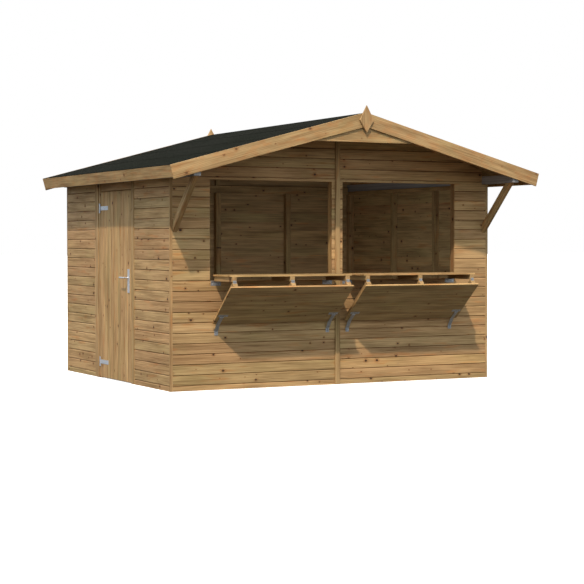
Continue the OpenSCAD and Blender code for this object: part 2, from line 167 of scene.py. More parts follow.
class StallTimber(PropertyGroup):
    """Sizes and colours of the boards."""
    board_cover: FloatProperty(name="Board cover", unit="LENGTH", default=0.105, min=0.08, max=0.14,
                               description="Height of cladding that one board covers")
    groove_depth: FloatProperty(name="Groove depth", unit="LENGTH", default=0.0088, min=0.004, max=0.01,
                                description="Depth of the scooped groove between boards")
    groove_height: FloatProperty(name="Groove height", unit="LENGTH", default=0.0145, min=0.006, max=0.02,
                                 description="Height of the scooped groove between boards")
    arris: FloatProperty(name="Arris", unit="LENGTH", default=0.0016, min=0.0005, max=0.004,
                         description="Width of the rounded edges of trims and battens")
    early_wood: FloatVectorProperty(name="Early wood", subtype="COLOR", size=3, min=0, max=1,
                                    default=(0.560, 0.362, 0.165),
                                    description="Lighter wood between the rings")
    late_wood: FloatVectorProperty(name="Late wood", subtype="COLOR", size=3, min=0, max=1,
                                   default=(0.225, 0.132, 0.052), description="Darker wood of the rings")
    knot: FloatVectorProperty(name="Knots", subtype="COLOR", size=3, min=0, max=1,
                              default=(0.040, 0.019, 0.009), description="Colour of the knots")


class StallRoof(PropertyGroup):
    """Sizes and colours of the roof covering."""
    course: FloatProperty(name="Felt course", unit="LENGTH", default=0.56, min=0.3, max=1.0,
                          description="Width of felt that shows in each course")
    felt: FloatVectorProperty(name="Felt", subtype="COLOR", size=3, min=0, max=1,
                              default=(0.0150, 0.0158, 0.0132), description="Colour of the mineral felt")
    beam: FloatVectorProperty(name="Eave beams", subtype="COLOR", size=3, min=0, max=1,
                              default=(0.250, 0.238, 0.232), description="Colour of the stained eave beams")


class StallIron(PropertyGroup):
    """Finish of the hinges, hasps and lock."""
    zinc: FloatVectorProperty(name="Zinc", subtype="COLOR", size=3, min=0, max=1,
                              default=(0.56, 0.59, 0.64), description="Colour of the zinc plating")
    screws: BoolProperty(name="Screws", default=True, description="Put screws in the plates")


class StallStage(PropertyGroup):
    """Light and floor."""
    sun: FloatProperty(name="Sun", default=3.4, min=0, max=10, description="Strength of the key light")
    sun_colour: FloatVectorProperty(name="Sun colour", subtype="COLOR", size=3, min=0, max=1,
                                    default=(1.0, 0.846, 0.718), description="Colour of the key light")
    room: FloatProperty(name="Room light", default=7.0, min=0, max=60,
                        description="Strength of the soft light inside the stall")
    sky: FloatVectorProperty(name="Sky", size=3, min=0, max=4, default=(1.0, 1.12, 1.22),
                             description="Light from above the horizon")
    ground: FloatVectorProperty(name="Ground", size=3, min=0, max=4, default=(0.185, 0.165, 0.135),
                                description="Light thrown up from below the horizon")
    sun_softness: FloatProperty(name="Sun softness", subtype="ANGLE", default=math.radians(1.6),
                                min=0, max=0.5, description="Angle that the key light fills")
    floor: FloatVectorProperty(name="Floor", subtype="COLOR", size=3, min=0, max=1,
                               default=(0.90, 0.90, 0.90), description="Colour of the pale floor")


# ---------------------------------------------------------------- node helpers


def add(tree, kind, inputs=None, **settings):
    """Adds a node. Inputs are given by name or number, as values or as the outputs that feed them."""
    node = tree.nodes.new(kind)
    for key, value in settings.items():
        setattr(node, key, value)
    for key, value in (inputs or {}).items():
        if isinstance(value, bpy.types.NodeSocket):
            tree.links.new(value, node.inputs[key])
        else:
            node.inputs[key].default_value = value
    return node


def math_node(tree, operation, a, b=0.0, clamp=False):
    return add(tree, "ShaderNodeMath", {0: a, 1: b}, operation=operation, use_clamp=clamp).outputs[0]


def times(tree, a, b):
    return math_node(tree, "MULTIPLY", a, b)


def mix_colour(tree, factor, a, b, blend="MIX"):
    node = add(tree, "ShaderNodeMix", data_type="RGBA", blend_type=blend)
    for number, value in ((0, factor), (6, a), (7, b)):
        if isinstance(value, bpy.types.NodeSocket):
            tree.links.new(value, node.inputs[number])
        else:
            node.inputs[number].default_value = value
    return node.outputs[2]


def tinted(tree, factor, colour, tint):
    """The colour multiplied by a tint, as far as the factor says."""
    return mix_colour(tree, factor, colour, (*tint, 1), "MULTIPLY")


def map_range(tree, value, low, high, out_low=0.0, out_high=1.0, smooth=True):
    return add(tree, "ShaderNodeMapRange", {0: value, 1: low, 2: high, 3: out_low, 4: out_high},
               interpolation_type="SMOOTHSTEP" if smooth else "LINEAR").outputs[0]


def scaled(tree, vector, factors, offset=(0, 0, 0)):
    return add(tree, "ShaderNodeMapping", {"Vector": vector, "Scale": factors, "Location": offset},
               vector_type="POINT").outputs[0]


def noise(tree, vector, detail=3.0, roughness=0.55):
    return add(tree, "ShaderNodeTexNoise", {"Vector": vector, "Scale": 1.0, "Detail": detail,
                                            "Roughness": roughness}).outputs[0]


def ramp(tree, value, stops):
    node = add(tree, "ShaderNodeValToRGB", {0: value})
    elements = node.color_ramp.elements
    while len(elements) < len(stops):
        elements.new(0.5)
    for element, (place, colour) in zip(elements, stops):
        element.position = place
        element.color = (*colour, 1.0)
    return node.outputs[0]


def shade_ramp(tree, value, base, stops):
    """A ramp over shades of one colour. Each stop is its place and its lightness."""
    return ramp(tree, value, [(place, [min(1.0, c * light) for c in base]) for place, light in stops])


def new_material(name):
    material = bpy.data.materials.new(name)
    material.use_nodes = True
    tree = material.node_tree
    return material, tree, tree.nodes["Principled BSDF"]


def link(tree, output, node, name):
    tree.links.new(output, node.inputs[name])


def bump(tree, shader, height, strength, distance):
    relief = add(tree, "ShaderNodeBump", {"Height": height, "Strength": strength, "Distance": distance})
    link(tree, relief.outputs[0], shader, "Normal")


def voronoi_grey(tree, place, scale):
    """Cells of random grey, and the distance to the middle of each."""
    cells = add(tree, "ShaderNodeTexVoronoi", {"Vector": place, "Scale": scale, "Randomness": 1.0})
    grey = add(tree, "ShaderNodeSeparateColor", {0: cells.outputs["Color"]}).outputs[0]
    return grey, cells.outputs["Distance"]


@cache
def wood(name, light=1.0, tint=(1.0, 1.0, 1.0), knots=0.30, sawn=0.0, spread=1.0, grooved=False,
         edge_highlight=0.0, blotch=0.0):
    """Pine with rings, streaks, knots and a tone for each board. It reads the board's own
    coordinates: along the grain, across it and through the board. Sawn marks, a spread of tones,
    dirt and painted shade in grooves, a painted highlight on the edges of boards of that
    thickness, and blotches are each as asked."""
    timber = bpy.context.scene.stall_timber
    material, tree, shader = new_material(name)
    grain = add(tree, "ShaderNodeAttribute", attribute_name="grain").outputs["Vector"]
    tone = add(tree, "ShaderNodeAttribute", attribute_name="tone").outputs["Fac"]

    # Knots go right through a board: some cells of a pattern along and across it have one
    cells = scaled(tree, grain, (7.0, 9.5, 1.0))
    voronoi = add(tree, "ShaderNodeTexVoronoi", {"Vector": cells, "Scale": 1.0, "Randomness": 0.95},
                  voronoi_dimensions="2D")
    picked = add(tree, "ShaderNodeSeparateColor", {0: voronoi.outputs["Color"]})
    has_knot = math_node(tree, "LESS_THAN", picked.outputs[0], knots)
    size = map_range(tree, math_node(tree, "POWER", picked.outputs[1], 1.7), 0.0, 1.0, 0.032, 0.110,
                     smooth=False)
    wobble = times(tree, noise(tree, scaled(tree, grain, (60, 60, 60)), 2.0), 0.03)
    ratio = math_node(tree, "DIVIDE", math_node(tree, "ADD", voronoi.outputs["Distance"], wobble), size)
    core = times(tree, map_range(tree, ratio, 1.35, 0.95), has_knot)
    halo = times(tree, map_range(tree, ratio, 3.4, 1.0), has_knot)

    # Rings run along the board, and bend round the knots
    split = add(tree, "ShaderNodeSeparateXYZ", {0: grain})
    swing = noise(tree, scaled(tree, grain, (0.9, 5.0, 5.0)), 2.0)
    across = math_node(tree, "ADD", split.outputs[1], times(tree, halo, 0.016))
    across = math_node(tree, "ADD", across, times(tree, swing, 0.085))
    wave = math_node(tree, "SINE", times(tree, across, 430.0))
    rings = math_node(tree, "POWER", map_range(tree, wave, -1.0, 1.0, smooth=False), 2.2)
    streaks = noise(tree, scaled(tree, grain, (2.2, 130.0, 130.0)), 3.0, 0.6)
    bands = noise(tree, scaled(tree, grain, (1.1, 42.0, 42.0), (5.0, 2.0, 0.0)), 2.0, 0.5)
    broad = noise(tree, scaled(tree, grain, (1.5, 11.0, 11.0)), 3.0, 0.6)

    dark = times(tree, rings, 0.22)
    dark = math_node(tree, "ADD", dark, map_range(tree, streaks, 0.36, 0.70, 0.0, 0.40))
    dark = math_node(tree, "ADD", dark, map_range(tree, bands, 0.40, 0.66, 0.0, 0.22))
    dark = math_node(tree, "ADD", dark, map_range(tree, broad, 0.36, 0.66, 0.0, 0.40), clamp=True)
    early = tuple(c * light * t for c, t in zip(timber.early_wood, tint))
    late = tuple(c * light * t for c, t in zip(timber.late_wood, tint))
    colour = mix_colour(tree, dark, (*early, 1), (*late, 1))

    # Each board has its own tone: pinkish, plain, yellow or a little green from the treatment
    shades = ((0.00, (-0.16, -0.20, -0.20)), (0.22, (0.02, -0.04, -0.05)), (0.45, (0.0, 0.0, 0.0)),
              (0.68, (-0.08, -0.03, -0.06)), (0.85, (0.07, 0.08, 0.10)), (1.00, (0.13, 0.10, 0.04)))
    tones = ramp(tree, tone, [(place, [1 + spread * c for c in shade]) for place, shade in shades])
    colour = mix_colour(tree, 1.0, colour, tones, "MULTIPLY")
    patches = noise(tree, scaled(tree, grain, (1.6, 3.0, 3.0), (7.0, 3.0, 1.0)), 2.0)
    green = map_range(tree, patches, 0.48, 0.70, 0.0, 0.30)
    colour = tinted(tree, green, colour, (0.80, 0.95, 0.80))
    resin = noise(tree, scaled(tree, grain, (2.6, 16.0, 1.0), (1.0, 9.0, 0.0)), 2.0)
    colour = tinted(tree, map_range(tree, resin, 0.56, 0.72, 0.0, 0.55), colour, (1.06, 0.74, 0.52))
    colour = tinted(tree, times(tree, halo, 0.55), colour, (0.66, 0.42, 0.28))
    colour = mix_colour(tree, times(tree, core, 0.92 - 0.7 * blotch), colour, (*timber.knot, 1))
    if blotch:
        marbled = noise(tree, scaled(tree, grain, (8.0, 15.0, 15.0), (3.0, 5.0, 0.0)), 2.0, 0.5)
        colour = tinted(tree, map_range(tree, marbled, 0.44, 0.64, 0.0, blotch), colour, (1.04, 0.80, 0.66))
    depth = split.outputs[2]
    if grooved:
        # The scoop under the next board holds dirt, and its deep part is darkened further with painted shade
        scoop = times(tree, map_range(tree, depth, -0.0030, -0.0050),
                      map_range(tree, depth, -0.0110, -0.0080))
        colour = tinted(tree, scoop, colour, (0.66, 0.59, 0.53))
    if edge_highlight:
        # The board's edges are painted lighter than its faces, a painted highlight along them
        edge = times(tree, map_range(tree, depth, -0.0008, -0.0016),
                     map_range(tree, depth, 0.0008 - edge_highlight, 0.0016 - edge_highlight))
        colour = tinted(tree, edge, colour, (1.45, 1.36, 1.28))
    if sawn:
        marks = noise(tree, scaled(tree, grain, (190.0, 12.0, 12.0)), 2.0)
        colour = tinted(tree, map_range(tree, marks, 0.45, 0.7, 0.0, sawn), colour, (0.72, 0.68, 0.62))
    link(tree, colour, shader, "Base Color")
    link(tree, map_range(tree, dark, 0.0, 1.0, 0.58, 0.80, smooth=False), shader, "Roughness")
    shader.inputs["Specular IOR Level"].default_value = 0.28

    height = math_node(tree, "ADD", times(tree, streaks, 0.6), times(tree, rings, -0.35))
    height = math_node(tree, "SUBTRACT", height, times(tree, core, 0.4))
    bump(tree, shader, height, 0.5, 0.0007)
    return material


def cladding_wood():
    return wood("pine_cladding", grooved=True)


def frame_timber():
    return wood("sawn_pine", 0.92, (0.98, 0.94, 0.90), 0.30, sawn=0.5)


def trim_wood():
    return wood("planed_pine", 0.92, (1.0, 0.985, 0.97), 0.16, spread=0.6)


def barge_wood():
    return wood("pale_pine", 1.0, (1.0, 1.0, 1.0), 0.24, spread=0.5, blotch=0.5)


def leaf_wood():
    # The leaves' boards get a painted highlight on their edges
    return wood("leaf_pine", 0.84, (0.98, 1.0, 0.98), 0.24, spread=0.8, edge_highlight=LEAF_T)


@cache
def felt():
    """Mineral felt: dark, with slate granules in greys."""
    material, tree, shader = new_material("mineral_felt")
    place = add(tree, "ShaderNodeTexCoord").outputs["Object"]
    grey, middle = voronoi_grey(tree, place, 520.0)
    base = bpy.context.scene.stall_roof.felt
    colour = shade_ramp(tree, grey, base, ((0.0, 0.45), (0.45, 1.0), (0.8, 1.35), (1.0, 2.6)))
    wear = noise(tree, scaled(tree, place, (1.1, 0.5, 1.1)), 4.0)
    colour = tinted(tree, map_range(tree, wear, 0.35, 0.7, 0.0, 0.5), colour, (0.70, 0.76, 0.70))
    streak = noise(tree, scaled(tree, place, (40.0, 1.2, 1.2), (0, 3, 0)), 3.0)
    colour = tinted(tree, map_range(tree, streak, 0.45, 0.7, 0.0, 0.22), colour, (1.5, 1.5, 1.5))
    link(tree, colour, shader, "Base Color")
    shader.inputs["Roughness"].default_value = 0.92
    shader.inputs["Specular IOR Level"].default_value = 0.0
    bump(tree, shader, math_node(tree, "ADD", middle, times(tree, wear, 0.5)), 0.7, 0.0012)
    return material


@cache
def stained_beam():
    """Dark grey stain over planed timber."""
    material, tree, shader = new_material("stained_beam")
    grain = add(tree, "ShaderNodeAttribute", attribute_name="grain").outputs["Vector"]
    streaks = noise(tree, scaled(tree, grain, (1.6, 90.0, 90.0)), 3.0)
    colour = shade_ramp(tree, streaks, bpy.context.scene.stall_roof.beam, ((0.3, 0.72), (0.7, 1.30)))
    link(tree, colour, shader, "Base Color")
    link(tree, map_range(tree, streaks, 0.3, 0.7, 0.50, 0.68, smooth=False), shader, "Roughness")
    bump(tree, shader, streaks, 0.35, 0.0005)
    return material


@cache
def zinc(name="zinc_plate", light=1.0, tint=(1.0, 1.0, 1.0)):
    """Zinc plate with faint spangle and a few dull patches."""
    base = tuple(c * light * t for c, t in zip(bpy.context.scene.stall_iron.zinc, tint))
    material, tree, shader = new_material(name)
    place = add(tree, "ShaderNodeTexCoord").outputs["Object"]
    grey = voronoi_grey(tree, place, 160.0)[0]
    colour = shade_ramp(tree, grey, base, ((0.0, 0.80), (0.6, 1.0), (1.0, 1.18)))
    dull = noise(tree, scaled(tree, place, (45, 45, 45)), 3.0)
    colour = tinted(tree, map_range(tree, dull, 0.52, 0.72, 0.0, 0.45), colour, (0.66, 0.65, 0.63))
    link(tree, colour, shader, "Base Color")
    shader.inputs["Metallic"].default_value = 0.55
    link(tree, map_range(tree, dull, 0.35, 0.70, 0.40, 0.60, smooth=False), shader, "Roughness")
    bump(tree, shader, dull, 0.2, 0.0003)
    return material


# A darker, warmer copy of the zinc for the shutter ironwork, which stands in shade: the darkening is painted
# shade
def shaded_zinc():
    return zinc("shaded_zinc", 0.62, (1.0, 0.96, 0.89))


# ---------------------------------------------------------------- board helpers


def inset(outline, amount):
    """The outline moved inwards by amount, corner by corner. It runs anticlockwise."""
    moved = []
    count = len(outline)
    for i in range(count):
        before, here, after = (Vector(outline[(i + k) % count]) for k in (-1, 0, 1))
        a = (here - before).normalized()
        b = (after - here).normalized()
        normal_a, normal_b = Vector((-a.y, a.x)), Vector((-b.y, b.x))
        middle = normal_a + normal_b
        moved.append(here + middle * (amount / max(0.35, 1 + normal_a.dot(normal_b))))
    return moved


def cut_band(profile, low, high):
    """The part of a closed profile of (height, depth) points between two heights."""
    for limit, keep in ((low, 1), (high, -1)):
        kept = []
        for i, here in enumerate(profile):
            after = profile[(i + 1) % len(profile)]
            inside, next_inside = keep * (here[0] - limit) >= 0, keep * (after[0] - limit) >= 0
            if inside:
                kept.append(here)
            if inside != next_inside:
                share = (limit - here[0]) / (after[0] - here[0])
                kept.append((limit, here[1] + share * (after[1] - here[1])))
        profile = kept
    return profile


class Timbers:
    """Collects the boards of one piece. Each board gets its own grain and tone."""

    def __init__(self, seed):
        self.points, self.faces, self.grain, self.tones = [], [], [], []
        self.random = random.Random(seed)

    def start_board(self, tone=None):
        """Where in the wood this board was cut, and how light it is."""
        self.shift = Vector((self.random.uniform(0, 40), self.random.uniform(0, 40), 0.0))
        self.tone = self.random.random() if tone is None else tone

    def ring(self, points, grain):
        first = len(self.points)
        self.points += points
        self.grain += [g + self.shift for g in grain]
        self.tones += [self.tone] * len(points)
        return first

    def skin(self, starts, count):
        """Faces over rings of points that follow each other, with a face on each end."""
        self.faces.append([starts[0] + i for i in range(count)])
        for a, b in zip(starts, starts[1:]):
            for i in range(count):
                j = (i + 1) % count
                self.faces.append([a + i, b + i, b + j, a + j])
        self.faces.append([starts[-1] + i for i in reversed(range(count))])

    def slab(self, outline, origin, along, across, depth, arris, tone=None):
        """A flat piece: its outline lies in the plane of along and across, anticlockwise seen from
        outside, and it goes in from there by depth. The grain follows along."""
        self.start_board(tone)
        out = along.cross(across)
        rings = ((inset(outline, arris), 0.0), (outline, arris),
                 (outline, depth - arris), (inset(outline, arris), depth))
        starts = []
        for points, inwards in rings:
            placed = [origin + along * p[0] + across * p[1] - out * inwards for p in points]
            starts.append(self.ring(placed, [Vector((p[0], p[1], -inwards)) for p in points]))
        self.skin(starts, len(outline))

    def section(self, outline, y0, y1, arris):
        """A beam that runs along Y, from an outline in X and Z that is anticlockwise from the front."""
        self.start_board()
        small = inset(outline, arris)
        starts = []
        for points, y in ((small, y0), (outline, y0 + arris), (outline, y1 - arris), (small, y1)):
            placed = [Vector((p[0], y, p[1])) for p in points]
            starts.append(self.ring(placed, [Vector((y, p[1], p[0])) for p in points]))
        self.skin(starts, len(outline))

    def stick(self, low, high, arris=0.0015, tone=None, axes=(X, Y, Z), origin=None):
        """A straight board between two corners, with its grain along its longest side."""
        origin = at(0, 0, 0) if origin is None else origin
        low, high = Vector(low), Vector(high)
        size = high - low
        order = sorted(range(3), key=lambda k: -size[k])
        middle = (low + high) / 2
        along, across = axes[order[0]], axes[order[1]]
        half_long, half_wide, thick = size[order[0]] / 2, size[order[1]] / 2, size[order[2]]
        centre = origin + sum((axes[k] * middle[k] for k in range(3)), Vector())
        a = min(arris, thick / 3)
        outline = [(-half_long + a, -half_wide), (half_long - a, -half_wide), (half_long, -half_wide + a),
                   (half_long, half_wide - a), (half_long - a, half_wide), (-half_long + a, half_wide),
                   (-half_long, half_wide - a), (-half_long, -half_wide + a)]
        out = along.cross(across)
        self.slab(outline, centre + out * (thick / 2), along, across, thick, a, tone=tone)

    def course(self, profile, origin, along, across, left, right, base):
        """Part of a board of cladding: a closed profile of (height, depth) points pushed along the
        wall. Left and right give its ends at each height. The grain starts at base."""
        out = along.cross(across)
        starts = []
        for end in (left, right):
            placed = [origin + along * end(v) + across * v + out * w for v, w in profile]
            starts.append(self.ring(placed, [Vector((end(v), v - base, w)) for v, w in profile]))
        count = len(profile)
        for i in range(count):
            j = (i + 1) % count
            self.faces.append([starts[0] + i, starts[0] + j, starts[1] + j, starts[1] + i])
        self.faces.append([starts[0] + i for i in reversed(range(count))])
        self.faces.append([starts[1] + i for i in range(count)])

    def finish(self, name, material, slot, body, *nodes):
        """Makes the piece, which rides on a body and stands for CAD nodes."""
        mesh = bpy.data.meshes.new(name)
        mesh.from_pydata([tuple(p) for p in self.points], [], self.faces)
        mesh.validate()
        grain = mesh.attributes.new("grain", "FLOAT_VECTOR", "POINT")
        grain.data.foreach_set("vector", [c for g in self.grain for c in g])
        tone = mesh.attributes.new("tone", "FLOAT", "POINT")
        tone.data.foreach_set("value", self.tones)
        mesh.materials.append(material)
        return place_piece(name, mesh, slot, body, *nodes)


def place_piece(name, mesh, slot, body, *nodes):
    piece = bpy.data.objects.new(name, mesh)
    bpy.context.scene.collection.objects.link(piece)
    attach(piece, body)
    if nodes:
        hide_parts(*nodes)
    return piece


def surface_piece(name, points, faces, material, slot, body, *nodes, smooth=False):
    """Makes a piece from points and faces that are not boards."""
    mesh = bpy.data.meshes.new(name)
    mesh.from_pydata([tuple(p) for p in points], [], faces)
    mesh.validate()
    for polygon in mesh.polygons:
        polygon.use_smooth = smooth
    mesh.materials.append(material)
    return place_piece(name, mesh, slot, body, *nodes)


def board_profile(base, top):
    """Outline of a shiplap board: square foot, flat face, and a scoop under the next board."""
    timber = bpy.context.scene.stall_timber
    scoop, height, ease = timber.groove_depth, timber.groove_height, 0.0012
    face = [(base, -ease), (base + ease, 0.0)]
    for down, sunk in ((1.0, 0.0), (0.80, 0.12), (0.62, 0.38), (0.50, 0.72), (0.25, 0.93), (0.0, 1.0)):
        face.append((top - height * down, -scoop * sunk))
    return face + [(top, -CLAD), (base, -CLAD)]


def clad_wall(timbers, origin, along, zones, top, joint=None):
    """Boards a wall from the ground up. Each zone is (low, high, spans), and each span gives the
    ends of a board at a height. Boards meet at joint, where it is given."""
    cover = bpy.context.scene.stall_timber.board_cover
    base = FIRST_GROOVE - cover
    while base < top:
        profile = board_profile(base, base + cover)
        for part in ((None,) if joint is None else (-1, 1)):
            timbers.start_board()
            for low, high, spans in zones:
                if high <= base + 1e-4 or low >= base + cover - 1e-4:
                    continue
                shape = cut_band(profile, max(low, base), min(high, base + cover))
                if len(shape) < 3:
                    continue
                for left, right in spans:
                    if part == -1:
                        ends = (left, lambda v, r=right: min(r(v), joint))
                    elif part == 1:
                        ends = (lambda v, l=left: max(l(v), joint), right)
                    else:
                        ends = (left, right)
                    middle = (shape[0][0] + shape[-1][0]) / 2
                    if ends[1](middle) - ends[0](middle) > 0.002:
                        timbers.course(shape, origin, along, Z, *ends, base)
        base += cover


def flat(value):
    return lambda v: value


def gable_spans(t):
    """Ends of the boards under the roof, which run to the eave beams and then up the slopes."""
    def reach(z):
        return max(0.0, min(CLAD_END if z <= WALL_H else EAVE_BEAM_X, slope_reach(z, t)))
    return (lambda v: -reach(v), reach)


GABLE_T = FELT + DECK + ROOF_SEAT
GABLE_TOP = RIDGE_Z - GABLE_T / math.cos(PITCH) - 0.001


# ---------------------------------------------------------------- walls


def build_front_cladding():
    boards = Timbers(11)
    piers = [(flat(-CLAD_END), flat(-HATCH_OUT)), (flat(-PIER_HALF), flat(PIER_HALF)),
             (flat(HATCH_OUT), flat(CLAD_END))]
    zones = [(0.0, SILL, [(flat(-CLAD_END), flat(CLAD_END))]), (SILL, HEAD, piers),
             (HEAD, GABLE_TOP, [gable_spans(GABLE_T)])]
    clad_wall(boards, at(0, 0, 0), X, zones, GABLE_TOP, joint=0.0)
    boards.finish("front_cladding", cladding_wood(), "cladding", "hut",
                  "front_piers", "front_sill_panels", "front_gable")


def build_back_cladding():
    boards = Timbers(12)
    zones = [(0.0, WALL_H, [(flat(-CLAD_END), flat(CLAD_END))]), (WALL_H, GABLE_TOP, [gable_spans(GABLE_T)])]
    clad_wall(boards, at(0, BODY_D, 0), -X, zones, GABLE_TOP)
    boards.finish("back_cladding", cladding_wood(), "cladding", "hut", "back_wall")


def build_right_cladding():
    boards = Timbers(13)
    span = (flat(CORNER), flat(BODY_D - CORNER))
    clad_wall(boards, at(HALF_W, 0, 0), Y, [(0.0, WALL_H, [span])], WALL_H)
    boards.finish("right_cladding", cladding_wood(), "cladding", "hut", "right_wall")


def build_left_cladding():
    boards = Timbers(14)
    rear = (flat(-(BODY_D - CORNER)), flat(-(DOOR_REAR + HINGE_TRIM)))
    over = (flat(-DOOR_REAR), flat(-DOOR_Y))
    near = (flat(-(DOOR_Y - LOCK_TRIM)), flat(-CORNER))
    for spans, low in (([rear], 0.0), ([over], DOOR_H), ([near], 0.0)):
        clad_wall(boards, at(-HALF_W, 0, 0), -Y, [(low, WALL_H, spans)], WALL_H)
    boards.finish("left_cladding", cladding_wood(), "cladding", "hut", "left_wall")


def loose_boxes(node):
    """Lowest and highest corner of each separate solid of a CAD node."""
    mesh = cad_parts[node].data
    points = {}
    names = []
    for v in mesh.vertices:
        key = tuple(round(c, 5) for c in v.co)
        names.append(points.setdefault(key, len(points)))
    parent = list(range(len(points)))

    def root(i):
        while parent[i] != i:
            parent[i] = parent[parent[i]]
            i = parent[i]
        return i

    for polygon in mesh.polygons:
        first = names[polygon.vertices[0]]
        for v in polygon.vertices[1:]:
            parent[root(names[v])] = root(first)
    boxes = {}
    for key, i in points.items():
        low, high = boxes.setdefault(root(i), (Vector(key), Vector(key)))
        boxes[root(i)] = (Vector(map(min, low, key)), Vector(map(max, high, key)))
    return sorted(boxes.values(), key=lambda b: tuple(round(c, 4) for c in (*b[0], *b[1])))


def build_wall_frame():
    for name, nodes in (("wall_posts", ("front_posts", "wall_studs")),
                        ("wall_rails", ("front_rails", "back_rails", "side_rails"))):
        boards = Timbers(20 + len(nodes))
        for node in nodes:
            for low, high in loose_boxes(node):
                boards.stick(low, high, 0.002, origin=Vector())
        boards.finish(name, frame_timber(), "frame_wood", "hut", *nodes)


def build_corner_trims():
    arris = bpy.context.scene.stall_timber.arris
    outer = HALF_W + PROUD
    inner = HALF_W - CLAD
    boards = Timbers(31)
    for side in (-1, 1):
        for front in (True, False):
            y0, y1 = (-PROUD, CLAD) if front else (BODY_D - CLAD, BODY_D + PROUD)
            z0, z1 = (CLAD, CORNER) if front else (BODY_D - CORNER, BODY_D - CLAD)
            xs = sorted((side * CLAD_END, side * outer))
            boards.stick((xs[0], y0, 0), (xs[1], y1, WALL_H), arris, tone=boards.random.uniform(0.35, 0.95))
            xs = sorted((side * inner, side * outer))
            boards.stick((xs[0], z0, 0), (xs[1], z1, WALL_H), 0.0012, tone=boards.random.uniform(0.35, 0.95))
    boards.finish("corner_trim_boards", trim_wood(), "trim_wood", "hut", "corner_trims")


def build_centre_cover():
    boards = Timbers(32)
    low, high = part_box("centre_batten")
    boards.stick(low, high, 0.003, tone=0.6, origin=Vector())
    boards.finish("centre_cover", trim_wood(), "trim_wood", "hut", "centre_batten")


def build_door_trims():
    """The lock side's board, and on the hinge side a jamb, a sunk strip and a wide board."""
    boards = Timbers(33)
    inner, outer = -(HALF_W - CLAD), -LEAF_FACE
    end = DOOR_REAR + HINGE_TRIM
    # The sunk strip takes the darkest tone, painted shade for the shadow line in its recess
    for y0, y1, sunk, tone in ((DOOR_Y - LOCK_TRIM, DOOR_Y, 0.0, 0.62), (end - HINGE_BOARD, end, 0.0, 0.85),
                               (DOOR_REAR + JAMB, end - HINGE_BOARD, 0.008, 0.05),
                               (DOOR_REAR, DOOR_REAR + JAMB, 0.0, 0.45)):
        boards.stick((outer + sunk, y0, 0), (inner, y1, WALL_H), 0.0018, tone=tone)
    boards.finish("door_trim_boards", trim_wood(), "trim_wood", "hut", "door_trims")


# ---------------------------------------------------------------- roof


def build_roof_boards():
    """Roof boards, which run from front to back and lie on the rafters."""
    boards = Timbers(41)
    board_width = 0.0952
    joint = 0.0025
    for side in (-1, 1):
        down, up = down_slope(side)
        start, end = MITRE / math.cos(PITCH), SLOPE_LEN - TRIM - ROOF_SEAT
        count = round((end - start) / board_width)
        width = (end - start) / count
        for i in range(count):
            s0, s1 = start + i * width, start + (i + 1) * width
            if i == 0:
                s0 += (DECK + FELT) * math.tan(PITCH)
            origin = at(0, DECK_MID, RIDGE_Z) + down * ((s0 + s1) / 2) - up * (FELT + DECK)
            wide = (s1 - s0) / 2
            outline = [(-DECK_HALF, -wide), (DECK_HALF, -wide), (DECK_HALF, wide), (-DECK_HALF, wide)]
            # The outline's outside is the face under the roof, which has the jointed edges
            boards.slab(outline, origin, Y, down * side, FELT + DECK - (FELT + ROOF_SEAT), joint)
    boards.finish("roof_boards", frame_timber(), "frame_wood", "hut", "roof_deck")


def build_felt():
    """Felt in courses along the eaves. Each laps over the one below it, and the ridge is capped."""
    course = bpy.context.scene.stall_roof.course
    lap = 0.075
    thickness = 0.0011
    foot_lift = 0.0016
    generator = random.Random(42)
    points, faces = [], []
    rows, columns = 6, 60

    def sheet(side, s0, s1):
        """A sheet on one slope from s0 at its top to s1 at its foot, which lies on the sheet below."""
        down, up = down_slope(side)
        first = len(points)
        for layer in (0, 1):
            for i in range(rows + 1):
                share = i / rows
                s = s0 + (s1 - s0) * share
                for j in range(columns + 1):
                    y = DECK_FRONT + (DECK_REAR - DECK_FRONT) * j / columns
                    top = foot_lift - foot_lift * share
                    inside = 0 < j < columns and 0 < i < rows
                    sink = generator.uniform(0.0, 0.0004) if layer == 0 and inside else 0.0
                    t = top + sink + (thickness if layer else 0.0)
                    points.append(at(0, y, RIDGE_Z) + down * s - up * t)
        width = columns + 1
        back = (rows + 1) * width
        for i in range(rows):
            for j in range(columns):
                a = first + i * width + j
                quad = [a, a + width, a + width + 1, a + 1]
                under = [q + back for q in quad]
                faces.append(quad if side > 0 else quad[::-1])
                faces.append(under[::-1] if side > 0 else under)
        edge = [first + j for j in range(columns)] + [first + i * width + columns for i in range(rows)]
        edge += [first + rows * width + columns - j for j in range(columns)]
        edge += [first + (rows - i) * width for i in range(rows)]
        for a, b in zip(edge, edge[1:] + edge[:1]):
            quad = [a, b, b + back, a + back]
            faces.append(quad if side > 0 else quad[::-1])

    for side in (-1, 1):
        foot = SLOPE_LEN
        while foot > 0.02:
            head = max(0.002, foot - course - lap)
            sheet(side, head, foot)
            foot -= course
    surface_piece("felt_courses", points, faces, felt(), "roofing_felt", "hut", "roof_felt", smooth=True)


